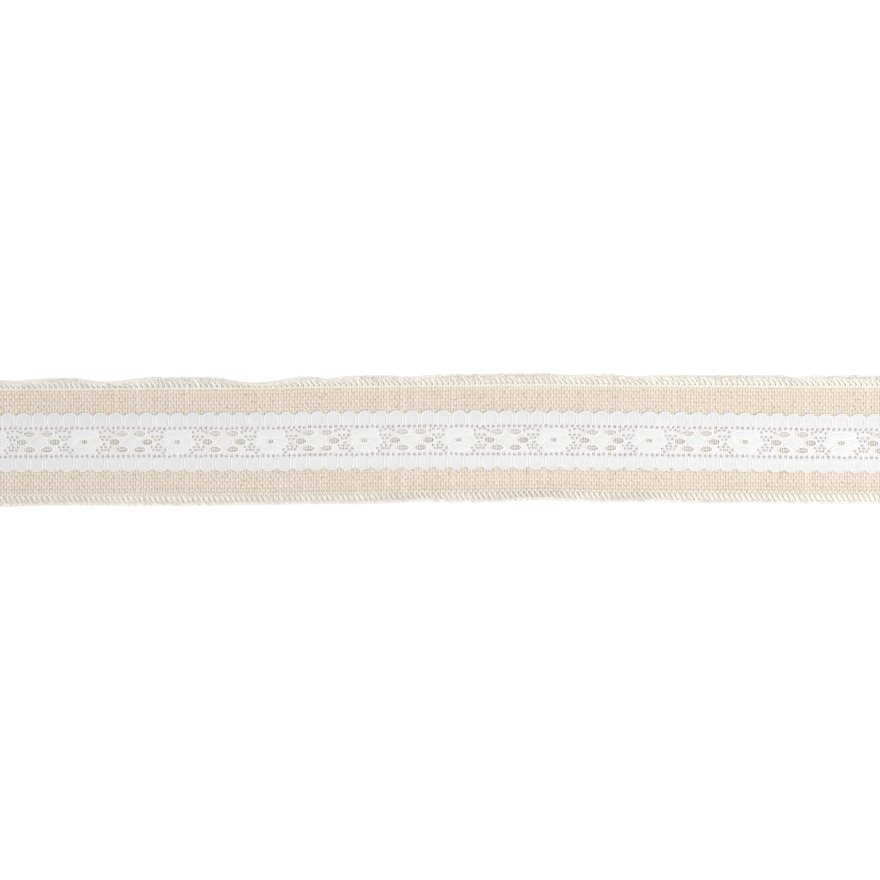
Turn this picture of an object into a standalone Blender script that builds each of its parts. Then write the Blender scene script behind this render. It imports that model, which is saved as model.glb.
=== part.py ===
"""Cut length of natural cotton ribbon, both edges overlocked, with a white lace trim sewn down its middle.

The ribbon lies flat on its underside. X runs along it, Y across it and Z up, and the origin is on the
surface that it lies on, under the middle of its box. Sizes are in metres; angles are in degrees until used.
"""

import math

import bmesh
import bpy
from mathutils import Vector
from mathutils.geometry import delaunay_2d_cdt

MM = 0.001

# Ribbon: driving sizes
REPEAT = 28.0 * MM  # one repeat of the lace: an eyelet flower and a solid flower
REPEATS = 10
LENGTH = REPEATS * REPEAT
RIMS = {1: 3.3 * MM, -1: 3.7 * MM}  # reach of each overlock past its seam, laid flat: far side, near side
RIBBON = 38.1 * MM  # whole width, laid flat
BAND = RIBBON - RIMS[1] - RIMS[-1]  # between the two overlock seams
CLEARANCE = 0.3 * MM  # between one piece and the next

# Cotton band
CLOTH = 1.0 * MM
PRESSED = 0.6 * MM  # the same cloth, drawn in under the overlock
SHOULDER = 2.0 * MM  # the cloth climbs into the overlock over this width

# Overlock casing, a channel of thread round the raw edge
CASING_WALL = 0.4 * MM
SLOT_HALF = PRESSED / 2 + CLEARANCE
CASING_HALF = SLOT_HALF + CASING_WALL
NOSE = 0.6 * MM  # thread beyond the slot, at the outer edge
TURN = 1.8 * MM  # a lifted rim turns up over this width, next to its seam
LEVEL = 1e-6  # radians; a rim that slopes less than this lies flat

# Lace trim
LACE_HALF = 8.75 * MM  # centre line to scallop tip
LACE_THICK = 1.0 * MM
SCALLOPS = 6  # in each repeat, on each edge
SCALLOP = REPEAT / SCALLOPS
SCALLOP_DEPTH = 1.1 * MM
SCALLOP_STEPS = 5
SCALLOP_POWER = 2.4  # 2 is a parabola; more makes a squarer tongue
SCALLOP_SHIFT = {1: 0.05 * MM, -1: -0.60 * MM}  # the two edges are a little out of step
LACE_SHIFT = -8.5 * MM  # the middle eyelet flower stands this far along from the origin
LACE_EASE = 0.1  # a length u of lace was fed in with this much times u squared to spare, per metre
EYELET_SIDES = 8
INSIDE_ONLY = 1  # the triangulation keeps what the outline holds
NEARNESS = 1e-7
END_MARGIN = 0.8 * MM  # no eyelet is cut nearer than this to the ribbon's ends
SCALLOP_MARGIN = 0.1 * MM  # and no point of the scallops

# How the ribbon lies: one row for each section. "at" is along the ribbon; "band" and "lace" are how far
# their centre lines stand off a straight line there.
SECTIONS_MM = (
    {"at": -140.0, "band": -0.64, "lace": -0.85},
    {"at": -112.0, "band": -0.60, "lace": -0.68},
    {"at": -84.0, "band": -0.38, "lace": -0.65},
    {"at": -56.0, "band": -0.28, "lace": -0.58},
    {"at": -28.0, "band": 0.16, "lace": -0.15},
    {"at": 0.0, "band": 0.50, "lace": 0.05},
    {"at": 28.0, "band": 0.84, "lace": 0.02},
    {"at": 56.0, "band": 0.56, "lace": -0.20},
    {"at": 84.0, "band": 0.36, "lace": -0.58},
    {"at": 112.0, "band": 0.20, "lace": -1.00},
    {"at": 140.0, "band": 0.20, "lace": -1.10},
)

# Where each rim lifts off the surface: one row for each ripple. "lift" is the slope of the rim at its
# steepest and "reach" is how far the ripple runs on each side.
FAR_RIPPLES = (
    {"at": -125.0, "lift": 62.0, "reach": 15.0},
    {"at": -97.0, "lift": 75.0, "reach": 17.0},
    {"at": -53.0, "lift": 90.0, "reach": 20.0},
    {"at": -32.0, "lift": 64.0, "reach": 9.5},
    {"at": -8.0, "lift": 54.0, "reach": 12.0},
    {"at": 40.0, "lift": 44.0, "reach": 13.0},
    {"at": 59.0, "lift": 54.0, "reach": 12.0},
    {"at": 107.0, "lift": 50.0, "reach": 8.0},
)
NEAR_RIPPLES = (
    {"at": -112.0, "lift": 34.0, "reach": 32.0},
    {"at": -50.0, "lift": 22.0, "reach": 24.0},
    {"at": -6.0, "lift": 36.0, "reach": 18.0},
    {"at": 30.0, "lift": 38.0, "reach": 22.0},
    {"at": 60.0, "lift": 34.0, "reach": 18.0},
)
RIPPLES = {1: FAR_RIPPLES, -1: NEAR_RIPPLES}
RIPPLE_SHARES = (-1.0, -0.6, -0.3, 0.0, 0.3, 0.6, 1.0)  # sections through a ripple, as shares of its reach
NARROWEST_BAY = 3.2 * MM  # sections nearer together than this are one

# Eyelets of one repeat, from the middle of the eyelet flower; the chart is the same on both sides of it
EYELETS_MM = (
    {"name": "upper petal", "x": 2.65, "y": 2.50, "half_length": 1.65, "half_height": 0.86},
    {"name": "side petal", "x": 5.00, "y": 0.05, "half_length": 1.50, "half_height": 0.90},
    {"name": "lower petal", "x": 2.60, "y": -2.15, "half_length": 1.68, "half_height": 0.84},
)


def section(column, x):
    """A column of SECTIONS_MM at x, in metres, running smoothly from each row to the next."""
    x_mm = x / MM
    rows = SECTIONS_MM
    for left, right in zip(rows, rows[1:]):
        if x_mm <= right["at"]:
            break
    share = min(1.0, max(0.0, (x_mm - left["at"]) / (right["at"] - left["at"])))
    ease = share * share * (3 - 2 * share)
    return (left[column] + (right[column] - left[column]) * ease) * MM


def lift(side, x):
    """How steeply the rim on that side stands at x, in radians."""
    total = 0.0
    for ripple in RIPPLES[side]:
        away = abs(x / MM - ripple["at"]) / ripple["reach"]
        if away < 1:
            total += ripple["lift"] * (1 + math.cos(math.pi * away)) / 2
    return math.radians(total)


def rim_point(side, x, out, up):
    """The point at x that is `out` past the seam along the rim, and `up` off the rim's middle plane."""
    slope = lift(side, x)
    across, rise, angle = out, 0.0, 0.0
    if out > 0 and slope > LEVEL:
        angle = slope * min(out, TURN) / TURN
        radius = TURN / slope
        straight = max(0.0, out - TURN)
        across = radius * math.sin(angle) + straight * math.cos(angle)
        rise = radius * (1 - math.cos(angle)) + straight * math.sin(angle)
    across -= up * math.sin(angle)
    rise += up * math.cos(angle)
    seam = section("band", x) + side * BAND / 2
    return (x, seam + side * across, CASING_HALF + rise)


def stations():
    """Places along the ribbon to section it: its ends, each ripple's feet, flanks and crest, and between."""
    places = {-LENGTH / 2, LENGTH / 2}
    for side in (1, -1):
        for ripple in RIPPLES[side]:
            for share in RIPPLE_SHARES:
                places.add((ripple["at"] + share * ripple["reach"]) * MM)
    for row in SECTIONS_MM[1:-1]:
        places.add(row["at"] * MM)
    kept = []
    for place in sorted(places):
        if abs(place) <= LENGTH / 2 and (not kept or place - kept[-1] > NARROWEST_BAY):
            kept.append(place)
    kept[-1] = LENGTH / 2
    return kept


def material(name, colour, roughness):
    made = bpy.data.materials.new(name)
    made.use_nodes = True
    shader = made.node_tree.nodes["Principled BSDF"]
    shader.inputs["Base Color"].default_value = (*colour, 1.0)
    shader.inputs["Roughness"].default_value = roughness
    shader.inputs["Metallic"].default_value = 0.0
    return made


def add_object(name, data, finish):
    made = bpy.data.objects.new(name, data)
    data.materials.append(finish)
    bpy.context.scene.collection.objects.link(made)
    return made


def loft(name, loops, finish):
    """A closed solid through cross-sections of equal point count, capped at both ends."""
    mesh = bmesh.new()
    rings = [[mesh.verts.new(point) for point in loop] for loop in loops]
    count = len(rings[0])
    for ring, following in zip(rings, rings[1:]):
        for i in range(count):
            j = (i + 1) % count
            mesh.faces.new((ring[i], ring[j], following[j], following[i]))
    caps = [mesh.faces.new(rings[0]), mesh.faces.new(rings[-1])]
    bmesh.ops.triangulate(mesh, faces=caps)
    bmesh.ops.recalc_face_normals(mesh, faces=mesh.faces)
    data = bpy.data.meshes.new(name)
    mesh.to_mesh(data)
    mesh.free()
    return add_object(name, data, finish)


def band_loop(x):
    """The cloth's cross-section at x: pressed thin in both rims, and flat on the surface between them."""
    pressed_half = PRESSED / 2
    far, near = ((RIMS[side] - NOSE - CLEARANCE, TURN, TURN / 2, 0.0) for side in (1, -1))
    shoulder_at = BAND / 2 - SHOULDER
    middle = section("band", x)
    upper = [rim_point(-1, x, out, pressed_half) for out in near]
    upper += [(x, middle - shoulder_at, CLOTH), (x, middle + shoulder_at, CLOTH)]
    upper += [rim_point(1, x, out, pressed_half) for out in reversed(far)]
    lower = [rim_point(1, x, out, -pressed_half) for out in far]
    lower += [(x, middle + shoulder_at, 0.0), (x, middle - shoulder_at, 0.0)]
    lower += [rim_point(-1, x, out, -pressed_half) for out in reversed(near)]
    return upper + lower


def casing_loop(side, x):
    """The overlock's cross-section at x: a channel that opens towards the band, with a round outer edge."""
    rim = RIMS[side]
    places = (0.0, TURN / 2, TURN, rim - NOSE)
    outside = [(out, CASING_HALF) for out in places] + [(rim, 0.0)]
    outside += [(out, -CASING_HALF) for out in reversed(places)]
    inside = [(out, -SLOT_HALF) for out in places] + [(out, SLOT_HALF) for out in reversed(places)]
    return [rim_point(side, x, out, up) for out, up in outside + inside]


def lace_x(along):
    """Where a point of the lace's own length comes to lie on the ribbon."""
    return LACE_SHIFT + along + LACE_EASE * along * along


def scalloped_edge(side):
    """Points along one edge of the lace, from one end of the ribbon to the other."""
    step = SCALLOP / SCALLOP_STEPS
    points = []
    reach = SCALLOP_STEPS * (SCALLOPS * REPEATS // 2 + 3)  # past both ends of the ribbon
    for i in range(-reach, reach + 1):
        along = i * step
        share = (i % SCALLOP_STEPS) / SCALLOP_STEPS
        tongue = 1 - abs(2 * share - 1) ** SCALLOP_POWER
        x = lace_x(along - SCALLOP / 2 + SCALLOP_SHIFT[side])
        if abs(x) < LENGTH / 2 - SCALLOP_MARGIN:
            off = LACE_HALF - SCALLOP_DEPTH * (1 - tongue)
            points.append((x, section("lace", x) + side * off))
    return [(-LENGTH / 2, points[0][1]), *points, (LENGTH / 2, points[-1][1])]


def eyelets():
    """The outline of each eyelet that falls whole inside the ribbon's length."""
    outlines = []
    for number in range(-REPEATS // 2 - 1, REPEATS // 2 + 2):
        for row in EYELETS_MM:
            for mirror in (-1, 1):
                middle = number * REPEAT + mirror * row["x"] * MM
                outline = []
                for i in range(EYELET_SIDES):
                    turn = 2 * math.pi * (i + 0.5) / EYELET_SIDES
                    x = lace_x(middle + row["half_length"] * MM * math.cos(turn))
                    y = section("lace", x) + (row["y"] + row["half_height"] * math.sin(turn)) * MM
                    outline.append((x, y))
                if max(abs(x) for x, _ in outline) < LENGTH / 2 - END_MARGIN:
                    outlines.append(outline)
    return outlines


def lace(name, finish):
    """The trim: a flat sheet within the scalloped outline, open at its eyelets, then given its thickness."""
    loops = [scalloped_edge(-1) + scalloped_edge(1)[::-1], *eyelets()]
    points, faces = [], []
    for loop in loops:
        faces.append(list(range(len(points), len(points) + len(loop))))
        points += [Vector(point) for point in loop]
    flat, _, triangles, _, _, owners = delaunay_2d_cdt(points, [], faces, INSIDE_ONLY, NEARNESS)
    mesh = bmesh.new()
    height = CLOTH + CLEARANCE + LACE_THICK / 2
    corners = [mesh.verts.new((point.x, point.y, height)) for point in flat]
    for triangle, owner in zip(triangles, owners):
        if owner == [0]:  # in the outline, and in no eyelet
            mesh.faces.new([corners[i] for i in triangle])
    loose = [vert for vert in mesh.verts if not vert.link_faces]
    bmesh.ops.delete(mesh, geom=loose, context="VERTS")
    data = bpy.data.meshes.new(name)
    mesh.to_mesh(data)
    mesh.free()
    made = add_object(name, data, finish)
    thickness = made.modifiers.new("thickness", "SOLIDIFY")
    thickness.thickness = LACE_THICK
    thickness.offset = 0.0
    return made


def main():
    for old in list(bpy.data.objects):
        bpy.data.objects.remove(old)
    cotton = material("natural cotton", (0.72, 0.62, 0.50), 0.9)
    thread = material("cream thread", (0.84, 0.78, 0.67), 0.8)
    nylon = material("white lace", (0.88, 0.89, 0.90), 0.6)
    places = stations()
    loft("cotton_band", [band_loop(x) for x in places], cotton)
    loft("overlock_far", [casing_loop(1, x) for x in places], thread)
    loft("overlock_near", [casing_loop(-1, x) for x in places], thread)
    lace("lace_trim", nylon)


main()
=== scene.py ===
"""A cut length of natural cotton ribbon: both edges overlocked, and a white lace trim down its middle."""

import bmesh
import bpy
import numpy as np
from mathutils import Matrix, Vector
from mathutils.geometry import delaunay_2d_cdt


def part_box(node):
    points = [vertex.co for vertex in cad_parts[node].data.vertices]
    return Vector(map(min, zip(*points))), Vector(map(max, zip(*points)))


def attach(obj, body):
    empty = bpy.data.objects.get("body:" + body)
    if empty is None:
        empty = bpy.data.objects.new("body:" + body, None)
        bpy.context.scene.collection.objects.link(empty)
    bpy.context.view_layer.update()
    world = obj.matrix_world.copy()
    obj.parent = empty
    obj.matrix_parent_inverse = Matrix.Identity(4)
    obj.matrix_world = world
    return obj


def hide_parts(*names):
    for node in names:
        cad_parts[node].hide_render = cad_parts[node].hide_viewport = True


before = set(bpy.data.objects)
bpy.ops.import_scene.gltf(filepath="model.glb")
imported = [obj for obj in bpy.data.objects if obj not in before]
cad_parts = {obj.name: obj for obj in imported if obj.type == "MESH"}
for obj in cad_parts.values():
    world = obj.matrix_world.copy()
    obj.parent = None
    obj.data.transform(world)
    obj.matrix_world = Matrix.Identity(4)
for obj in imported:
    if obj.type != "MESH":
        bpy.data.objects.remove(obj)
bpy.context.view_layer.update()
bpy.ops.object.select_all(action="DESELECT")

# ---- Cotton cloth --------------------------------------------------------------------------------
# Coarse unbleached cotton in plain weave: every weft yarn goes over and under the warp ends in turn. The
# yarns are spun uneven, with slubs and husk, and a dark sheet closes the gaps between them: its tone is
# painted shade, for the shade deep between the yarns. The cloth lies flat, and its raw long edges run on
# into the overlock, which curls up in places.

MM = 0.001
rng = np.random.default_rng(11)

cloth_low, cloth_high = (Vector(corner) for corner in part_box("cotton_band"))
LENGTH = cloth_high.x - cloth_low.x
HALF_LENGTH = LENGTH / 2
HALF_BAND = 15.55 * MM  # centre line to each overlock seam
RIMS = {1: 3.3 * MM, -1: 3.7 * MM}  # reach of each overlock past its seam, laid flat: far, then near
CUT_SHORT = 0.6 * MM  # the cloth is cut this far short of the rim's edge
TURN = 1.8 * MM  # a lifted rim turns up over this width
SHOULDER = 2.0 * MM  # the cloth climbs into the overlock over this width
CLOTH_MIDDLE = 0.46 * MM  # half the cloth's thickness
RIM_MIDDLE = 0.80 * MM  # the same in the overlock, which runs under it too
LEVEL = 1e-6  # radians; no rim is taken to slope less than this

# How the ribbon lies: how far the centre lines of band and lace stand off a straight line, place by place
SECTIONS_MM = (
    {"at": -140.0, "band": -0.64, "lace": -0.85},
    {"at": -112.0, "band": -0.60, "lace": -0.68},
    {"at": -84.0, "band": -0.38, "lace": -0.65},
    {"at": -56.0, "band": -0.28, "lace": -0.58},
    {"at": -28.0, "band": 0.16, "lace": -0.15},
    {"at": 0.0, "band": 0.50, "lace": 0.05},
    {"at": 28.0, "band": 0.84, "lace": 0.02},
    {"at": 56.0, "band": 0.56, "lace": -0.20},
    {"at": 84.0, "band": 0.36, "lace": -0.58},
    {"at": 112.0, "band": 0.20, "lace": -1.00},
    {"at": 140.0, "band": 0.20, "lace": -1.10},
)

# Where each rim lifts: its slope at the steepest, in degrees, and how far the ripple runs on each side
FAR_RIPPLES = (
    {"at": -125.0, "lift": 62.0, "reach": 15.0},
    {"at": -97.0, "lift": 75.0, "reach": 17.0},
    {"at": -53.0, "lift": 90.0, "reach": 20.0},
    {"at": -32.0, "lift": 64.0, "reach": 9.5},
    {"at": -8.0, "lift": 54.0, "reach": 12.0},
    {"at": 40.0, "lift": 44.0, "reach": 13.0},
    {"at": 59.0, "lift": 54.0, "reach": 12.0},
    {"at": 107.0, "lift": 50.0, "reach": 8.0},
)
NEAR_RIPPLES = (
    {"at": -112.0, "lift": 34.0, "reach": 32.0},
    {"at": -50.0, "lift": 22.0, "reach": 24.0},
    {"at": -6.0, "lift": 36.0, "reach": 18.0},
    {"at": 30.0, "lift": 38.0, "reach": 22.0},
    {"at": 60.0, "lift": 34.0, "reach": 18.0},
)


def section(column, x):
    """A column of SECTIONS_MM at each x, running smoothly from each row to the next."""
    places = np.array([row["at"] for row in SECTIONS_MM]) * MM
    values = np.array([row[column] for row in SECTIONS_MM]) * MM
    row = np.clip(np.searchsorted(places, x) - 1, 0, len(places) - 2)
    share = np.clip((x - places[row]) / (places[row + 1] - places[row]), 0, 1)
    ease = share * share * (3 - 2 * share)
    return values[row] + (values[row + 1] - values[row]) * ease


def lift(ripples, x):
    """How steeply a rim stands at each x, in radians."""
    total = np.zeros_like(x)
    for ripple in ripples:
        away = np.minimum(np.abs(x / MM - ripple["at"]) / ripple["reach"], 1)
        total += ripple["lift"] * (1 + np.cos(np.pi * away)) / 2
    return np.radians(total)


def lie(x, across, height):
    """Where points of the flat ribbon come to rest, and which way is up from the cloth there.

    `across` runs from the centre line and `height` from the middle of the cloth's thickness.
    """
    x, across, height = np.broadcast_arrays(x, across, height)
    side = np.where(across < 0, -1.0, 1.0)
    out = np.abs(across) - HALF_BAND
    climb = np.clip(1 + out / SHOULDER, 0, 1)
    middle = CLOTH_MIDDLE + (RIM_MIDDLE - CLOTH_MIDDLE) * climb * climb * (3 - 2 * climb)
    slope = np.maximum(np.where(side > 0, lift(FAR_RIPPLES, x), lift(NEAR_RIPPLES, x)), LEVEL)
    angle = slope * np.clip(out / TURN, 0, 1)
    straight = np.maximum(out - TURN, 0)
    reach = TURN / slope * np.sin(angle) + straight * np.cos(angle)
    rise = TURN / slope * (1 - np.cos(angle)) + straight * np.sin(angle)
    from_middle = np.minimum(np.abs(across), HALF_BAND) + reach - height * np.sin(angle)
    y = section("band", x) + side * from_middle
    z = middle + rise + height * np.cos(angle)
    ups = np.stack([np.zeros_like(angle), -side * np.sin(angle), np.cos(angle)], axis=-1)
    return np.stack([x, y, z], axis=-1), ups


def new_piece(name, corners, faces, finish):
    """A mesh object at the origin with smooth faces."""
    data = bpy.data.meshes.new(name)
    data.from_pydata(corners, [], faces)
    data.polygons.foreach_set("use_smooth", np.ones(len(data.polygons), dtype=bool))
    data.materials.append(finish)
    piece = bpy.data.objects.new(name, data)
    bpy.context.scene.collection.objects.link(piece)
    return piece


def threads(name, lines, sides, finish):
    """One mesh of many threads, each with an oval section.

    A line is its points, which way is up at each, its half width and half thickness at each, and whether
    it closes on itself. The attribute "tone" gives each thread a shade of its own, and the UV map runs
    round the thread in turns and along it in metres.
    """
    turn = (np.arange(sides) + 0.5) * 2 * np.pi / sides
    corners, quads, uvs, tones = [], [], [], []
    first = 0
    for points, ups, half_width, half_thick, closed in lines:
        count = len(points)
        if closed:
            ahead = np.roll(points, -1, axis=0) - np.roll(points, 1, axis=0)
        else:
            ahead = np.gradient(points, axis=0)
        ahead /= np.linalg.norm(ahead, axis=1, keepdims=True)
        aside = np.cross(ahead, ups)
        aside /= np.linalg.norm(aside, axis=1, keepdims=True)
        over = np.cross(aside, ahead)
        wide = (aside * np.broadcast_to(half_width, count)[:, None])[:, None]
        wide = wide * np.cos(turn)[None, :, None] / np.cos(turn[0])
        thick = (over * np.broadcast_to(half_thick, count)[:, None])[:, None]
        thick = thick * np.sin(turn)[None, :, None]
        corners.append((points[:, None] + wide + thick).reshape(-1, 3))
        i, j = np.meshgrid(np.arange(count if closed else count - 1), np.arange(sides), indexing="ij")
        i, j = i.ravel(), j.ravel()
        here, there = first + i * sides, first + (i + 1) % count * sides
        after = (j + 1) % sides
        quads.append(np.stack([here + j, there + j, there + after, here + after], axis=1))
        steps = np.linalg.norm(np.diff(points, axis=0, append=points[:1]), axis=1)
        gone = np.concatenate([[0], np.cumsum(steps)])
        uvs.append(np.stack([j, gone[i], j, gone[i + 1], j + 1, gone[i + 1], j + 1, gone[i]], axis=1))
        if not closed:
            for start, order in ((first, 1), (first + (count - 1) * sides, -1)):
                cap = [[0, k, k + 1, k + 2] for k in range(1, sides - 2, 2)]
                quads.append(start + np.array(cap)[:, ::order])
                uvs.append(np.zeros((len(cap), 8)))
        tones.append(np.full(count * sides, rng.random()))
        first += count * sides
    piece = new_piece(name, np.concatenate(corners), np.concatenate(quads), finish)
    data = piece.data
    uv = np.concatenate(uvs).reshape(-1, 2)
    uv[:, 0] /= sides
    data.uv_layers.new(name="round and along").data.foreach_set("uv", uv.ravel())
    data.attributes.new("tone", "FLOAT", "POINT").data.foreach_set("value", np.concatenate(tones))
    return piece


def colour(code):
    """The linear colour of an sRGB hex value."""
    parts = [int(code[i : i + 2], 16) / 255 for i in (1, 3, 5)]
    return [p / 12.92 if p <= 0.04045 else ((p + 0.055) / 1.055) ** 2.4 for p in parts] + [1.0]


def node(tree, kind, inputs, **settings):
    """Add a node with its settings. `inputs` gives each socket a value, or the output that feeds it.

    Sockets that share a name go by number: a Mix of two colours takes 0, 6 and 7 and gives 2.
    """
    made = tree.nodes.new(kind)
    for name, value in settings.items():
        setattr(made, name, value)
    for socket, value in inputs.items():
        if isinstance(value, bpy.types.NodeSocket):
            tree.links.new(value, made.inputs[socket])
        else:
            made.inputs[socket].default_value = value
    return made


def new_finish(name, roughness, ior, sheen):
    """An empty material: itself, its node tree, and the shader to link its colour and bump to."""
    finish = bpy.data.materials.new(name)
    finish.use_nodes = True
    tree = finish.node_tree
    shader = tree.nodes["Principled BSDF"]
    shader.inputs["Roughness"].default_value = roughness
    shader.inputs["IOR"].default_value = ior
    shader.inputs["Sheen Weight"].default_value = sheen
    return finish, tree, shader


FIBRE_IOR = 1.53  # cotton and sewing thread alike
HAZE_FROM = HALF_BAND - 0.3 * MM  # the haze of thread fibre starts just inside the seam
HAZE_TO = HALF_BAND + 0.6 * MM
HAZE = 0.8  # and past it hides this much of the cotton
FAR_HAZE = "#e5e2db"
NEAR_HAZE = "#e6ddd2"


def bound(tree, place, cotton):
    """The cloth's colour, which shows paler and greyer in the overlock through loose cream fibre."""
    across = node(tree, "ShaderNodeSeparateXYZ", {"Vector": place}).outputs["Y"]
    off = node(tree, "ShaderNodeMath", {0: across}, operation="ABSOLUTE").outputs[0]
    share = node(
        tree,
        "ShaderNodeMapRange",
        {"Value": off, "From Min": HAZE_FROM, "From Max": HAZE_TO, "To Max": HAZE},
    )
    far = node(
        tree, "ShaderNodeMapRange", {"Value": across, "From Min": -HALF_BAND, "From Max": HALF_BAND}
    )
    haze = node(
        tree,
        "ShaderNodeMix",
        {0: far.outputs[0], 6: colour(NEAR_HAZE), 7: colour(FAR_HAZE)},
        data_type="RGBA",
    )
    mixed = node(
        tree, "ShaderNodeMix", {0: share.outputs[0], 6: cotton, 7: haze.outputs[2]}, data_type="RGBA"
    )
    return mixed.outputs[2]


HUSK = "#a58f72"
HUSK_STRENGTH = 0.6
YARN_TWIST = 0.9 * MM  # real yarn is twisted tighter; this is as fine as shows
# Noise scales are in cells to the metre.
ALONG_YARN, ACROSS_YARN, THROUGH_YARN = 300, 1800, 900  # streaks 3 mm long and 0.5 mm wide
SLOW_DRIFT = 90.0  # the cloth's shade drifts over about 11 mm
SPECKS = 1300.0  # husk specks are about 0.8 mm apart
SHADE_PATCHES = 700.0  # and the painted shade between the yarns varies in patches about 1.4 mm across


def yarn_finish(name, pale, deep, along_x):
    """Unbleached cotton yarn: each yarn has its own shade, which drifts along it, with specks of husk.

    The eye sees soft matt fibres with a slow twist and no shine.
    """
    finish, tree, shader = new_finish(name, 0.92, FIBRE_IOR, 0.15)
    tone = node(tree, "ShaderNodeAttribute", {}, attribute_name="tone").outputs["Fac"]
    place = node(tree, "ShaderNodeTexCoord", {}).outputs["Object"]
    plane = (ALONG_YARN, ACROSS_YARN) if along_x else (ACROSS_YARN, ALONG_YARN)
    streaks = node(tree, "ShaderNodeMapping", {"Vector": place, "Scale": (*plane, THROUGH_YARN)})
    drift = node(tree, "ShaderNodeTexNoise", {"Vector": streaks.outputs[0], "Scale": 1.0, "Detail": 3.0})
    slow = node(tree, "ShaderNodeTexNoise", {"Vector": place, "Scale": SLOW_DRIFT, "Detail": 2.0})
    mixed = node(tree, "ShaderNodeMath", {0: tone, 1: drift.outputs["Fac"]}, operation="ADD")
    mixed = node(tree, "ShaderNodeMath", {0: mixed.outputs[0], 1: slow.outputs["Fac"]}, operation="ADD")
    shade = node(
        tree, "ShaderNodeMapRange", {"Value": mixed.outputs[0], "From Min": 0.75, "From Max": 2.15}
    )
    cotton = node(
        tree, "ShaderNodeMix", {0: shade.outputs[0], 6: colour(deep), 7: colour(pale)}, data_type="RGBA"
    )
    specks = node(tree, "ShaderNodeTexNoise", {"Vector": place, "Scale": SPECKS, "Detail": 1.0})
    husk = node(
        tree,
        "ShaderNodeMapRange",
        {"Value": specks.outputs["Fac"], "From Min": 0.63, "From Max": 0.72, "To Max": HUSK_STRENGTH},
    )
    speckled = node(
        tree,
        "ShaderNodeMix",
        {0: husk.outputs[0], 6: cotton.outputs[2], 7: colour(HUSK)},
        data_type="RGBA",
    )
    tree.links.new(bound(tree, place, speckled.outputs[2]), shader.inputs["Base Color"])
    uv = node(tree, "ShaderNodeUVMap", {}, uv_map="round and along")
    twist = node(tree, "ShaderNodeMapping", {"Vector": uv.outputs[0], "Scale": (1, 1 / YARN_TWIST, 1)})
    ply = node(
        tree, "ShaderNodeTexWave", {"Vector": twist.outputs[0], "Scale": 0.5}, bands_direction="DIAGONAL"
    )
    bump = node(
        tree, "ShaderNodeBump", {"Height": ply.outputs["Fac"], "Strength": 0.35, "Distance": 0.04 * MM}
    )
    tree.links.new(bump.outputs[0], shader.inputs["Normal"])
    return finish


WEFT_PITCH = 0.80 * MM
WARP_PITCH = 1.04 * MM
WARP_ENDS = 17  # on each side of the middle one
WEFT_HALF = 0.41 * MM  # half the width of a weft yarn
WARP_HALF = 0.33 * MM
YARN_THICK = 0.13 * MM  # half the thickness of a yarn, flattened in the weave
WEFT_CRIMP = 0.03 * MM  # how far a weft yarn rises and dips: the finer warp does most of the bending
WARP_CRIMP = 0.13 * MM
WARP_RISE = 0.02 * MM  # the warp and the painted-shade sheet lie this far above the middle of the cloth
CROWN, NIP = 1.08, 0.72  # a weft yarn spreads over and under the warp ends, and is nipped between them
WEFT_END = 0.2 * MM  # no weft yarn comes nearer to a cut end

warp_ends = np.arange(-WARP_ENDS, WARP_ENDS + 1)
weft_picks = np.arange(round(LENGTH / WEFT_PITCH))
pick_places = (weft_picks + 0.5 - len(weft_picks) / 2) * LENGTH / len(weft_picks)

weft_lines = []
for pick, place in zip(weft_picks, pick_places):
    steps = np.arange(2 * len(warp_ends) - 1) / 2 + warp_ends[0]
    across = steps * WARP_PITCH
    fray = rng.uniform(0.1, 0.6, 2) * MM
    across[0] -= fray[0]
    across[-1] += fray[1]
    height = WEFT_CRIMP * np.cos(np.pi * (steps + pick))
    # A pick lies a little off its place, sways slowly as it goes across, and jogs at every warp end.
    sway = rng.normal(0, 0.015 * MM) + 0.05 * MM * np.sin(across / (9 * MM) + pick / 11)
    sway = sway + rng.normal(0, 0.04 * MM, len(across))
    x = np.clip(place + sway, -HALF_LENGTH + WEFT_END, HALF_LENGTH - WEFT_END)
    points, ups = lie(x, across, height)
    slub = 1.3 if rng.random() < 0.04 else rng.uniform(0.93, 1.07)
    swell = slub * (1 + 0.05 * np.sin(across / (5 * MM) + rng.uniform(0, 6)))
    spread = np.where(np.arange(len(steps)) % 2 == 0, CROWN, NIP) + rng.normal(0, 0.08, len(steps))
    weft_lines.append((points, ups, WEFT_HALF * swell * spread, YARN_THICK * swell, False))

warp_lines = []
for end in warp_ends:
    height = WARP_RISE - WARP_CRIMP * np.cos(np.pi * (end + weft_picks))
    stray = 0.10 * MM * np.sin(pick_places / (17 * MM) + 2 * end)
    stray = stray + rng.normal(0, 0.05 * MM, len(weft_picks))
    x = pick_places.copy()
    x[0], x[-1] = -HALF_LENGTH + rng.uniform(0, 0.3) * MM, HALF_LENGTH - rng.uniform(0, 0.3) * MM
    points, ups = lie(x, end * WARP_PITCH + stray, height)
    swell = rng.uniform(0.9, 1.1) * (1 + 0.12 * np.sin(pick_places / (7 * MM) + rng.uniform(0, 6)))
    warp_lines.append((points, ups, WARP_HALF * swell, 0.45 * YARN_THICK * swell, False))

weft_cotton = yarn_finish("weft cotton yarn", "#e2d6c9", "#dbcebf", False)
warp_cotton = yarn_finish("warp cotton yarn", "#e3d8cc", "#dccfc0", True)
weft = threads("weft_yarns", weft_lines, 4, weft_cotton)
warp = threads("warp_yarns", warp_lines, 4, warp_cotton)
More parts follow.
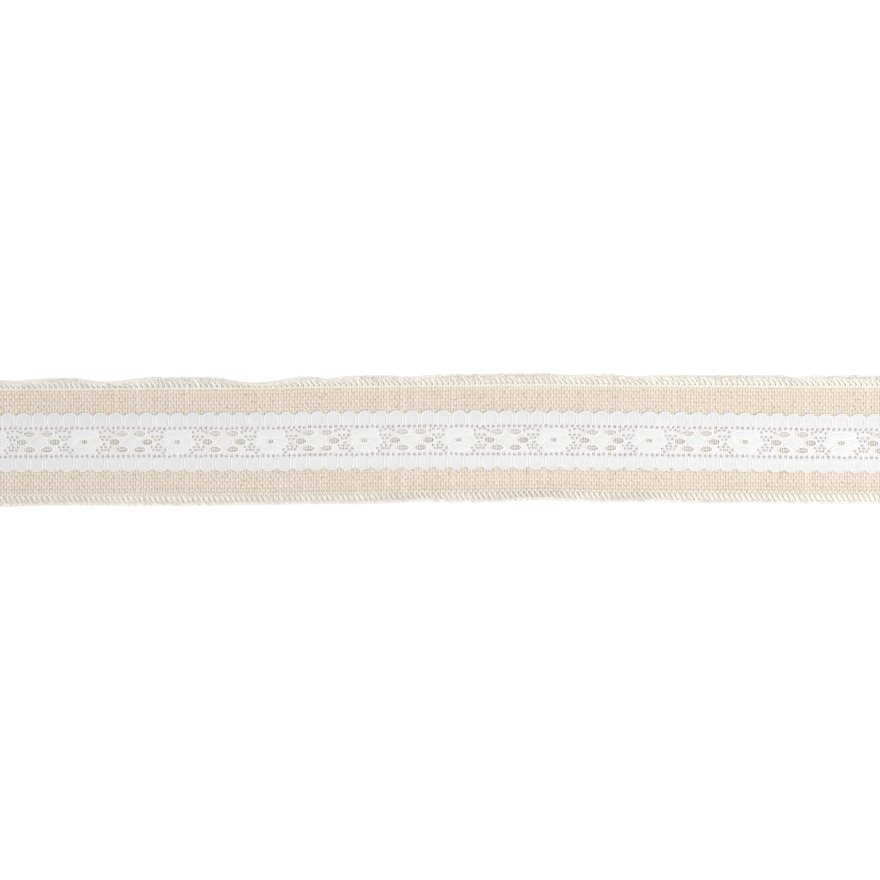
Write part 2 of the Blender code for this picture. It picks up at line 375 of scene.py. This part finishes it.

# A thin sheet at the middle of the cloth closes the gaps between the yarns; its dark tone is painted
# shade.
GROUND_STEP = 2.0 * MM
GROUND_COLUMNS = 49
GROUND_END = 0.3 * MM  # it stops this far short of the cut ends
ground_end = HALF_LENGTH - GROUND_END
ground_x = np.linspace(-ground_end, ground_end, round(LENGTH / GROUND_STEP) + 1)
raw_edges = {side: HALF_BAND + RIMS[side] - CUT_SHORT for side in (1, -1)}
ground_across = np.linspace(-raw_edges[-1], raw_edges[1], GROUND_COLUMNS)
ground_points, _ = lie(ground_x[:, None], ground_across[None, :], WARP_RISE)
i, j = np.meshgrid(np.arange(len(ground_x) - 1), np.arange(GROUND_COLUMNS - 1), indexing="ij")
corner = (i * GROUND_COLUMNS + j).ravel()
ground_faces = np.stack(
    [corner, corner + GROUND_COLUMNS, corner + GROUND_COLUMNS + 1, corner + 1], axis=1
)

# Painted shade: the sheet's dark tone stands for the shade deep between the yarns, where little light
# comes, and it has no shine at all
gap_shade, tree, shader = new_finish("painted shade between yarns", 1.0, FIBRE_IOR, 0.0)
place = node(tree, "ShaderNodeTexCoord", {}).outputs["Object"]
shade_patches = node(tree, "ShaderNodeTexNoise", {"Vector": place, "Scale": SHADE_PATCHES, "Detail": 2.0})
# Two tones of painted shade, mixed in random patches
gap_shade_tone = node(
    tree,
    "ShaderNodeMix",
    {0: shade_patches.outputs["Fac"], 6: colour("#b09f86"), 7: colour("#c8baa4")},
    data_type="RGBA",
)
tree.links.new(bound(tree, place, gap_shade_tone.outputs[2]), shader.inputs["Base Color"])

ground = new_piece("cloth_gap_shade", ground_points.reshape(-1, 3), ground_faces, gap_shade)
body = ground.modifiers.new("gap_shade", "SOLIDIFY")
body.thickness = 0.06 * MM
body.offset = 0.0

for piece in (ground, weft, warp):
    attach(piece, "root")
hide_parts("cotton_band")

# ---- Overlock ------------------------------------------------------------------------------------
# Each long edge is bound with a three-thread overlock in cream spun thread. A needle thread lies along
# the seam, and two loopers cross the raw edge, above and below, and lock in a purl along the outer edge.

STITCH = 1.59 * MM
LEAN = 1.90 * MM  # a looper reaches the edge this far along from its needle stitch
LEAN_BEND = 1.8  # and leans more the nearer it is to the edge
THREAD = 0.18 * MM  # half the width of a looper thread
FIBRE = 0.03 * MM  # half the width of a loose fibre end
LOOPER_SHORT = 0.25 * MM  # how far inside the rim's edge the looper turns back,
SECOND_SHORT = 0.10 * MM  # the second looper starts
PURL_SHORT = 0.22 * MM  # and the purl lies
PURL_SWING = 0.10 * MM
PURL_RISE = 0.12 * MM
BEATS = 4  # points of the purl and of the seam in each stitch

# One looper stitch on top of the cloth: up from the edge, over the needle thread in an arch and back to
# the edge. "along" is in stitches, "out" is a share of the rim's width and "rise" is in mm.
ARCH = (
    {"along": -0.14, "out": 1.00, "rise": 0.05},
    {"along": -0.30, "out": 0.74, "rise": 0.32},
    {"along": -0.42, "out": 0.50, "rise": 0.40},
    {"along": -0.40, "out": 0.26, "rise": 0.42},
    {"along": -0.27, "out": 0.08, "rise": 0.42},
    {"along": 0.00, "out": 0.00, "rise": 0.46},
    {"along": 0.27, "out": 0.08, "rise": 0.42},
    {"along": 0.40, "out": 0.26, "rise": 0.42},
    {"along": 0.42, "out": 0.50, "rise": 0.40},
    {"along": 0.30, "out": 0.74, "rise": 0.32},
    {"along": 0.14, "out": 1.00, "rise": 0.05},
)


THREAD_TWIST = 0.6 * MM  # as with the yarn, as fine as shows
THREAD_DRIFT = 350.0  # the thread's shade drifts over about 3 mm


def thread_finish(name, pale, deep):
    """Spun sewing thread: smoother than the yarn, with two plies that show as a fine slanting twist."""
    finish, tree, shader = new_finish(name, 0.75, FIBRE_IOR, 0.2)
    tone = node(tree, "ShaderNodeAttribute", {}, attribute_name="tone").outputs["Fac"]
    place = node(tree, "ShaderNodeTexCoord", {}).outputs["Object"]
    drift = node(tree, "ShaderNodeTexNoise", {"Vector": place, "Scale": THREAD_DRIFT, "Detail": 3.0})
    both = node(tree, "ShaderNodeMath", {0: tone, 1: drift.outputs["Fac"]}, operation="ADD")
    shade = node(
        tree, "ShaderNodeMapRange", {"Value": both.outputs[0], "From Min": 0.4, "From Max": 1.5}
    )
    mixed = node(
        tree, "ShaderNodeMix", {0: shade.outputs[0], 6: colour(deep), 7: colour(pale)}, data_type="RGBA"
    )
    tree.links.new(mixed.outputs[2], shader.inputs["Base Color"])
    uv = node(tree, "ShaderNodeUVMap", {}, uv_map="round and along")
    twist = node(tree, "ShaderNodeMapping", {"Vector": uv.outputs[0], "Scale": (1, 1 / THREAD_TWIST, 1)})
    ply = node(
        tree, "ShaderNodeTexWave", {"Vector": twist.outputs[0], "Scale": 0.5}, bands_direction="DIAGONAL"
    )
    bump = node(
        tree, "ShaderNodeBump", {"Height": ply.outputs["Fac"], "Strength": 0.5, "Distance": 0.05 * MM}
    )
    tree.links.new(bump.outputs[0], shader.inputs["Normal"])
    return finish


def overlock(name, side, cover, stray, seam, finish):
    """The threads of one rim. The looper leans towards -X on the far rim and towards +X on the near one.

    `cover` is how far in the second looper comes, as a share of the rim, `stray` is how far threads
    wander and `seam` is half the width of the seam that they are drawn up into.
    """
    rim = RIMS[side]
    count = round(LENGTH / STITCH)
    pitch = LENGTH / count
    needle = (np.arange(count) + 0.5 - count / 2) * pitch
    lines = []

    def lay(x, out, height, half_width, half_thick):
        x = np.clip(x, -HALF_LENGTH + THREAD, HALF_LENGTH - THREAD)
        points, ups = lie(x, side * (HALF_BAND + out), height)
        lines.append((points, ups, half_width, half_thick, False))

    along, out, rise = (np.array([row[key] for row in ARCH]) for key in ("along", "out", "rise"))
    bend = out**LEAN_BEND
    share = np.linspace(0, 1, 5)
    for face in (1, -1):
        for x in needle:
            reach = rim - LOOPER_SHORT + rng.normal(0, stray)
            lean = -side * (LEAN + rng.normal(0, 1.5 * stray))
            half = THREAD * rng.uniform(0.85, 1.15)
            wobble = rng.normal(0, 0.03 * MM, len(along))
            lay(x + along * pitch + lean * bend + wobble, out * reach, face * rise * MM, half, half * 0.8)
            # The other looper wraps the edge and crosses back over the outer rim, twice a stitch.
            for start in (0.1, 0.6):
                across = x + lean + start * pitch + side * 0.7 * pitch * share
                back = rim - SECOND_SHORT - cover * rim * share
                lay(across, back, face * (0.1 + 0.24 * share**0.5) * MM, 0.6 * THREAD, 0.5 * THREAD)
    purl_x = np.arange(BEATS * count + 1) / BEATS * pitch - HALF_LENGTH
    beat = np.pi * np.arange(BEATS * count + 1) / 2
    for face in (1, -1):
        wander = rng.normal(0, 0.6 * stray, len(beat))
        edge = rim - PURL_SHORT + face * PURL_SWING * np.cos(beat) + wander
        lay(purl_x, edge, face * PURL_RISE * np.sin(beat), 0.85 * THREAD, 0.85 * THREAD)
    seam_height = (0.20 + 0.04 * np.cos(beat)) * MM
    lay(purl_x, 0.5 * seam + 0.04 * MM * np.cos(beat), seam_height, seam, 0.12 * MM)
    # Loose fibre ends stand off the purl.
    for x in rng.uniform(-HALF_LENGTH, HALF_LENGTH, 6 * count):
        out = rim - 0.1 * MM + np.array([0.0, 0.5, 1.0]) * rng.uniform(0.1 * MM, 0.1 * MM + 2.5 * stray)
        drawn = np.array([0.0, 0.4, 1.0]) * rng.normal(0, 0.3 * MM)
        lay(x + drawn, out, rng.normal(0, 0.1 * MM), FIBRE, FIBRE)
    return threads(name, lines, 6, finish)


cream = thread_finish("cream spun thread", "#f1ece5", "#e7e1d8")
overlock_far = overlock("overlock_threads_far", 1, 0.60, 0.18 * MM, 0.36 * MM, cream)
overlock_near = overlock("overlock_threads_near", -1, 0.27, 0.11 * MM, 0.12 * MM, cream)
for piece, cad_node in ((overlock_far, "overlock_far"), (overlock_near, "overlock_near")):
    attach(piece, "root")
    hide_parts(cad_node)

# ---- Lace trim -----------------------------------------------------------------------------------
# A narrow knitted lace in soft white yarn. A row of ladder holes joins the dense scallops of each edge to
# the middle, where a flower of six eyelets takes turns with a solid flower, in a ground of small mesh. A
# heavier cord outlines each scallop, eyelet and petal.

LACE_REPEAT = 28.0 * MM
SCALLOPS = 6  # in each repeat, on each edge
LADDERS = 18  # ladder holes in each repeat, in each row
LACE_SHIFT = -8.5 * MM  # where the middle eyelet flower stands
LACE_EASE = 0.1  # spare length fed in, per metre
SCALLOP = LACE_REPEAT / SCALLOPS
LADDER = LACE_REPEAT / LADDERS
LACE_TIP = 8.75 * MM  # centre line to scallop tip
LACE_NOTCH = 8.15 * MM  # and to the notch between two
TONGUE_HALF = 2.02 * MM
TONGUE_ROUND = 2.5  # 2 is a half circle; more makes a squarer tongue
TONGUE_STEPS = 14
SCALLOP_PHASE = {1: 0.05 * MM, -1: -0.60 * MM}
LACE_BASE = 0.70 * MM  # underside of the lace, on the cloth
LACE_BODY = 0.18 * MM
RIB = LADDER / 3  # the inlaid yarns that cross the lace show as ribs
RIB_RISE = 0.07 * MM
HOLE_END = 0.4 * MM  # no hole is nearer than this to a cut end,
CORD_END = 0.25 * MM  # no cord or pad,
EDGE_END = 0.15 * MM  # no point of the scallops
LACE_END = 0.1 * MM  # and the lace itself stops this far short
LACE_DRIFT = 260.0  # the lace's shade drifts over about 4 mm

# Eyelets and petals, in mm from the middle of each flower; those off its middle line are on both sides.
# "inlaid" is how many fine yarns run along an eyelet.
EYELETS = (
    {"name": "upper", "u": 2.65, "v": 2.50, "long": 1.75, "high": 0.86, "inlaid": 3},
    {"name": "side", "u": 5.00, "v": 0.05, "long": 1.62, "high": 0.92, "inlaid": 0},
    {"name": "lower", "u": 2.60, "v": -2.15, "long": 1.78, "high": 0.86, "inlaid": 1},
)
PETALS = (
    {"name": "upper", "u": 0.0, "v": 2.35, "long": 4.10, "high": 1.20},
    {"name": "lower", "u": 0.0, "v": -2.02, "long": 3.25, "high": 1.22},
    {"name": "side", "u": 3.95, "v": 0.15, "long": 1.35, "high": 1.00},
)
HEART = {"u": 0.0, "v": 0.10, "long": 1.00, "high": 0.60}
LOZENGE = {"u": 0.0, "v": -0.15, "long": 2.75, "high": 1.95}
LOZENGE_POINT = 1.35  # 1 is an oval; more draws the four corners out
# The small mesh between the two flowers, in rows from the top down; mirrored to the other side.
MESH_ROWS = (
    {"v": 3.35, "holes": (6.4, 7.9)},
    {"v": 3.00, "holes": (5.4, 9.3)},
    {"v": 1.65, "holes": (6.5, 8.0, 9.2)},
    {"v": 1.50, "holes": (0.42,)},
    {"v": 0.75, "holes": (7.3, 8.6)},
    {"v": -0.62, "holes": (8.1,)},
    {"v": -1.45, "holes": (6.3, 7.6, 9.0)},
    {"v": -2.30, "holes": (6.8, 7.7, 8.6, 10.2)},
    {"v": -3.10, "holes": (9.6,)},
)
MESH_HOLE = {"long": 0.36, "high": 0.31}
LADDER_HOLE = {"long": 0.39, "high": 0.40}
LADDER_ROWS = (4.15, -4.10)


def lace_place(u, v, height):
    """Where a point of the lace comes to lie. u runs along it and v across it from its centre line."""
    x = LACE_SHIFT + u + LACE_EASE * u * u
    y = section("lace", x) + v
    return np.stack(np.broadcast_arrays(x, y, height), axis=-1)


def oval(row, u, v, grow, count):
    """An oval of the chart, moved to u, v and drawn out all round by `grow`, all in metres."""
    turn = np.arange(count) * 2 * np.pi / count
    return (
        u + (row["long"] * MM + grow) * np.cos(turn),
        v + (row["high"] * MM + grow) * np.sin(turn),
    )


def lozenge(u, scale):
    """The soft-cornered lozenge in the middle of the eyelet flower at u."""
    turn = np.arange(32) * 2 * np.pi / 32
    long_way, high_way = (
        np.sign(wave) * np.abs(wave) ** LOZENGE_POINT for wave in (np.cos(turn), np.sin(turn))
    )
    return (
        u + scale * LOZENGE["long"] * MM * long_way,
        (LOZENGE["v"] + scale * LOZENGE["high"] * high_way) * MM,
    )


def both_sides(row):
    """The places of a chart row, along the lace: one on the middle line, or a pair."""
    return (row["u"] * MM,) if row["u"] == 0 else (-row["u"] * MM, row["u"] * MM)


def inside(u, margin):
    """Whether every point lies short of the ribbon's cut ends."""
    return np.all(np.abs(lace_place(u, 0 * u, 0)[:, 0]) < HALF_LENGTH - margin)


def scallop_edge(side):
    """u and v along one edge: round-ended tongues, with a notch between each two."""
    count = round(LENGTH / SCALLOP) + 4
    u, v = [], []
    for number in range(-count // 2, count // 2 + 1):
        for share in np.linspace(-0.5, 0.5, TONGUE_STEPS, endpoint=False):
            off = share * SCALLOP
            left = max(1 - abs(off / TONGUE_HALF) ** TONGUE_ROUND, 0)
            cap = TONGUE_HALF * left ** (1 / TONGUE_ROUND)
            u.append(number * SCALLOP + SCALLOP_PHASE[side] + off)
            v.append(max(LACE_TIP - TONGUE_HALF + cap, LACE_NOTCH))
    return np.array(u), side * np.array(v)


flowers = [number * LACE_REPEAT for number in range(-6, 7)]  # past both ends of the ribbon
holes = []
for flower in flowers:
    for row in EYELETS:
        holes += [oval(row, flower + u, row["v"] * MM, 0, 20) for u in both_sides(row)]
    holes.append(oval(HEART, flower + LACE_REPEAT / 2, HEART["v"] * MM, 0, 14))
    for row in MESH_ROWS:
        for u in row["holes"]:
            holes += [oval(MESH_HOLE, flower + s * u * MM, row["v"] * MM, 0, 8) for s in (-1, 1)]
    for v in LADDER_ROWS:
        for k in range(-LADDERS // 2, LADDERS // 2):
            stray_u, stray_v, grow = rng.normal(0, 1, 3) * (0.05 * MM, 0.07 * MM, 0.03 * MM)
            along = flower + (k + 0.5) * LADDER + stray_u
            holes.append(oval(LADDER_HOLE, along, v * MM + stray_v, grow, 8))
holes = [hole for hole in holes if inside(hole[0], HOLE_END)]

edges = []  # each runs on from the last, right round the lace
lace_end = HALF_LENGTH - LACE_END
for side in (-1, 1):
    places = lace_place(*scallop_edge(side), 0.0)[:, :2]
    places = places[np.abs(places[:, 0]) < HALF_LENGTH - EDGE_END]
    places = np.concatenate([[(-lace_end, places[0, 1])], places, [(lace_end, places[-1, 1])]])
    edges.append(places if side < 0 else places[::-1])
near_edge, far_edge = edges
cut = np.linspace(0, 1, 19)[1:-1, None]
right_end = near_edge[-1] + (far_edge[0] - near_edge[-1]) * cut
left_end = far_edge[-1] + (near_edge[0] - far_edge[-1]) * cut
outline = np.concatenate([near_edge, right_end, far_edge, left_end])

# The lace is filled in with triangles round its holes, over points on the crest and foot of each rib.
RIB_POINTS = 17  # along each rib
GRID_EDGE = 0.3 * MM  # these points keep this far from the edges
GRID_HOLE = 0.1 * MM  # and this far from a hole
INSIDE_ONLY = 1  # the triangulation keeps what the outline holds
NEARNESS = 1e-8
loops = [outline] + [lace_place(u, v, 0.0)[:, :2] for u, v in holes]
loop_points = np.concatenate(loops)
starts = np.cumsum([0] + [len(loop) for loop in loops])
loop_faces = [list(range(a, b)) for a, b in zip(starts, starts[1:])]
rib_count = int((LENGTH + LACE_REPEAT) / RIB)
rib_u = (np.arange(2 * rib_count + 1) / 2 - rib_count / 2) * RIB
rib_v = np.linspace(-LACE_NOTCH + GRID_EDGE, LACE_NOTCH - GRID_EDGE, RIB_POINTS)
grid_u, grid_v = (a.ravel() for a in np.meshgrid(rib_u, rib_v, indexing="ij"))
keep = np.abs(lace_place(grid_u, grid_v, 0)[:, 0]) < HALF_LENGTH - GRID_EDGE
for u, v in holes:
    off_u = (grid_u - u.mean()) / (np.ptp(u) / 2 + GRID_HOLE)
    off_v = (grid_v - v.mean()) / (np.ptp(v) / 2 + GRID_HOLE)
    keep &= off_u**2 + off_v**2 > 1
grid_points = lace_place(grid_u[keep], grid_v[keep], 0.0)[:, :2]
all_points = [Vector(p) for p in np.concatenate([loop_points, grid_points])]
flat, _, triangles, origins, _, owners = delaunay_2d_cdt(
    all_points, [], loop_faces, INSIDE_ONLY, NEARNESS
)
in_lace = np.array([triangle for triangle, owner in zip(triangles, owners) if owner == [0]])

flat = np.array([tuple(p) for p in flat])
crest = np.zeros(len(flat))
grid_crest = np.cos(2 * np.pi * grid_u[keep] / RIB)
for number, origin in enumerate(origins):
    if origin and origin[0] >= len(loop_points):
        crest[number] = grid_crest[origin[0] - len(loop_points)]
top = LACE_BASE + LACE_BODY + RIB_RISE * crest
used = np.unique(in_lace)
renumber = np.full(len(flat), -1)
renumber[used] = np.arange(len(used))
plate_corners = np.column_stack([flat[used], top[used]])
plate_faces = renumber[in_lace]


def lace_finish(name, pale, deep):
    """Soft white lace yarn: matt, with the small loops of the knitting showing as a fine grain.

    The attribute "open work" is where the yarn is knitted loose and fluffs up whiter.
    """
    finish, tree, shader = new_finish(name, 0.8, FIBRE_IOR, 0.2)
    place = node(tree, "ShaderNodeTexCoord", {}).outputs["Object"]
    drift = node(tree, "ShaderNodeTexNoise", {"Vector": place, "Scale": LACE_DRIFT, "Detail": 3.0})
    mixed = node(
        tree,
        "ShaderNodeMix",
        {0: drift.outputs["Fac"], 6: colour(deep), 7: colour(pale)},
        data_type="RGBA",
    )
    loose = node(tree, "ShaderNodeAttribute", {}, attribute_name="open work").outputs["Fac"]
    white = node(
        tree, "ShaderNodeMix", {0: loose, 6: mixed.outputs[2], 7: colour("#dddcdb")}, data_type="RGBA"
    )
    tree.links.new(white.outputs[2], shader.inputs["Base Color"])
    loop_scale = (1 / RIB, 1 / (0.7 * RIB), 1)
    loops_at = node(tree, "ShaderNodeMapping", {"Vector": place, "Scale": loop_scale})
    knit = node(
        tree, "ShaderNodeTexVoronoi", {"Vector": loops_at.outputs[0], "Scale": 1.0, "Randomness": 0.5}
    )
    bump = node(
        tree,
        "ShaderNodeBump",
        {"Height": knit.outputs["Distance"], "Strength": 0.5, "Distance": 0.1 * MM},
    )
    tree.links.new(bump.outputs[0], shader.inputs["Normal"])
    return finish


# The plate's yarn is a shade greyer than the cord's: painted shade, for the shade in the fine net's small
# loops.
lace_white = lace_finish("white lace yarn", "#dededf", "#d8d8d9")
plate = new_piece("lace_ground", plate_corners, plate_faces, lace_white)
mesh = bmesh.new()
mesh.from_mesh(plate.data)
bmesh.ops.recalc_face_normals(mesh, faces=mesh.faces)
if sum(face.normal.z for face in mesh.faces) < 0:
    bmesh.ops.reverse_faces(mesh, faces=mesh.faces)
mesh.to_mesh(plate.data)
mesh.free()
OPEN_WORK = 4.5 * MM  # the loose knitting reaches this far from the lace's centre line
OPEN_BLEND = 0.6 * MM
off_middle = np.abs(plate_corners[:, 1] - section("lace", plate_corners[:, 0]))
open_work = np.clip((OPEN_WORK - off_middle) / OPEN_BLEND, 0, 1)
plate.data.attributes.new("open work", "FLOAT", "POINT").data.foreach_set("value", open_work)
body = plate.modifiers.new("body", "SOLIDIFY")
body.thickness = LACE_BODY
body.offset = -1.0

CORD = 0.20 * MM  # half the width of a cord
CORD_HEIGHT = LACE_BASE + LACE_BODY
EYELET_CORD = 0.16 * MM  # how far outside an eyelet the middle of its cord stands
HEART_CORD = 0.12 * MM
PETAL_CORD = -0.12 * MM  # a petal's cord stands inside its outline
cord_lines = []


def cord(u, v, height, half, closed):
    """One raised cord of the lace, along u and v."""
    if not inside(u, CORD_END):
        return
    points = lace_place(u, v, height)
    ups = np.tile([0.0, 0.0, 1.0], (len(points), 1))
    cord_lines.append((points, ups, half, half * 0.7, closed))


for flower in flowers:
    solid = flower + LACE_REPEAT / 2
    for row in EYELETS:
        for u in both_sides(row):
            cord(*oval(row, flower + u, row["v"] * MM, EYELET_CORD, 24), CORD_HEIGHT, 1.15 * CORD, True)
    for row in PETALS:
        for u in both_sides(row):
            cord(*oval(row, solid + u, row["v"] * MM, PETAL_CORD, 28), CORD_HEIGHT, CORD, True)
    cord(*oval(HEART, solid, HEART["v"] * MM, HEART_CORD, 16), CORD_HEIGHT, 0.8 * CORD, True)
    cord(*lozenge(flower, 1.0), CORD_HEIGHT, CORD, True)

# The petals and the lozenge are filled in dense, as low pads.
PAD_FOOT = LACE_BASE + LACE_BODY + RIB_RISE
PAD_RISE = 0.10 * MM
PAD_EDGE = -0.22 * MM  # a pad stops this far inside its petal's outline
pad_corners, pad_faces = [], []


def pad(u, v):
    """One low pad within an outline: a dome of two rings round its middle."""
    if not inside(u, CORD_END):
        return
    mid_u, mid_v, first = u.mean(), v.mean(), len(pad_corners)
    for share, rise in ((1.0, -0.5), (0.7, 0.8)):
        ring_u, ring_v = mid_u + (u - mid_u) * share, mid_v + (v - mid_v) * share
        pad_corners.extend(lace_place(ring_u, ring_v, PAD_FOOT + rise * PAD_RISE))
    pad_corners.extend(lace_place(np.array([mid_u]), mid_v, PAD_FOOT + PAD_RISE))
    count = len(u)
    for k in range(count):
        after = (k + 1) % count
        pad_faces.append((first + k, first + after, first + count + after, first + count + k))
        pad_faces.append((first + count + k, first + count + after, first + 2 * count))


for flower in flowers:
    for row in PETALS:
        for u in both_sides(row):
            pad(*oval(row, flower + LACE_REPEAT / 2 + u, row["v"] * MM, PAD_EDGE, 24))
    pad(*lozenge(flower, 0.88))

# A cord runs up from the ladder holes, round each tongue and down again, just inside the scallop's edge.
CORD_FOOT = 4.95 * MM  # centre line to where its legs start
CORD_INSIDE = 0.12 * MM
CORD_SHARE = 0.94  # of the tongue's width
half_turn = np.linspace(0, np.pi, 13)
leg = np.linspace(CORD_FOOT, LACE_TIP - TONGUE_HALF, 5)[:-1]
power = 2 / TONGUE_ROUND
round_u = TONGUE_HALF * np.sign(np.cos(half_turn)) * np.abs(np.cos(half_turn)) ** power
round_v = LACE_TIP - TONGUE_HALF + TONGUE_HALF * np.sin(half_turn).clip(0) ** power
tongue_u = np.concatenate([np.full(len(leg), TONGUE_HALF), round_u, np.full(len(leg), -TONGUE_HALF)])
tongue_v = np.concatenate([leg, round_v, leg[::-1]])
for side in (-1, 1):
    for number in range(-31, 32):
        u = number * SCALLOP + SCALLOP_PHASE[side] + CORD_SHARE * tongue_u
        cord(u, side * (tongue_v - CORD_INSIDE), CORD_HEIGHT, 0.88 * CORD, False)

# A bar joins each side eyelet to the side petal of the next flower.
BAR_START, BAR_END = 6.7 * MM, 8.7 * MM  # from the middle of the eyelet flower
BAR_OFF = 0.10 * MM  # off the lace's centre line
for flower in flowers:
    for way in (-1, 1):
        line = np.linspace(BAR_START, BAR_END, 5) * way
        cord(flower + line, BAR_OFF + 0 * line, CORD_HEIGHT, CORD, False)

# Fine inlaid yarns run across the lace and show in every opening; more run along in some eyelets.
FINE = 0.10 * MM
INLAY_PITCH = 0.42 * MM
INLAY_SHORT = 0.4 * MM  # they stop this far short of the notches
fine_height = LACE_BASE + 0.5 * LACE_BODY
for step in range(-rib_count // 2, rib_count // 2 + 1):
    line = np.array([-1.0, 0.0, 1.0]) * (LACE_NOTCH - INLAY_SHORT)
    cord(step * RIB + 0.5 * LADDER + 0 * line, line, fine_height, FINE, False)
for flower in flowers:
    for row in EYELETS:
        line = np.linspace(-row["long"], row["long"], 5) * MM
        for u in both_sides(row):
            for place in range(row["inlaid"]):
                v = row["v"] * MM + (place - (row["inlaid"] - 1) / 2) * INLAY_PITCH
                cord(flower + u + line, v + 0 * line, fine_height, 0.9 * FINE, False)

cord_white = lace_finish("white lace cord", "#eae9e7", "#e4e3e1")
cords = threads("lace_cords", cord_lines, 6, cord_white)
pads = new_piece("lace_pads", [tuple(corner) for corner in pad_corners], pad_faces, lace_white)
for piece in (plate, cords, pads):
    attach(piece, "root")
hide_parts("lace_trim")

# ---- Floor, light and camera ---------------------------------------------------------------------
# A white paper sweep, lit all round and by one soft light high on the right. The camera looks straight
# down, and takes in a little less than the ribbon's length.

bpy.ops.mesh.primitive_plane_add(size=4.0, location=(0, 0, 0))
floor = bpy.context.active_object
floor.name = "floor"
paper, tree, shader = new_finish("white paper", 0.9, 1.5, 0.0)
shader.inputs["Base Color"].default_value = colour("#f9f9f9")
shader.inputs["Emission Color"].default_value = (1, 1, 1, 1)
shader.inputs["Emission Strength"].default_value = 0.20
shader.inputs["Specular IOR Level"].default_value = 0.2
floor.data.materials.append(paper)

softbox_data = bpy.data.lights.new("softbox", "AREA")
softbox_data.shape = "DISK"
softbox_data.size = 0.5
softbox_data.energy = 6.9
softbox = bpy.data.objects.new("softbox", softbox_data)
softbox.location = (0.45, -0.14, 0.85)
softbox.rotation_euler = (-softbox.location).to_track_quat("-Z", "Y").to_euler()
bpy.context.scene.collection.objects.link(softbox)

world = bpy.data.worlds.new("studio")
world.use_nodes = True
world.node_tree.nodes["Background"].inputs["Color"].default_value = (1, 1, 1, 1)
world.node_tree.nodes["Background"].inputs["Strength"].default_value = 0.60
bpy.context.scene.world = world
bpy.context.scene.view_settings.view_transform = "Standard"

VIEW_WIDTH = 261.4 * MM
camera_data = bpy.data.cameras.new("camera")
camera_data.lens = 100
camera_data.sensor_width = 36
camera = bpy.data.objects.new("camera", camera_data)
camera.location = (0, 0, VIEW_WIDTH * camera_data.lens / camera_data.sensor_width)
bpy.context.scene.collection.objects.link(camera)
bpy.context.scene.camera = camera
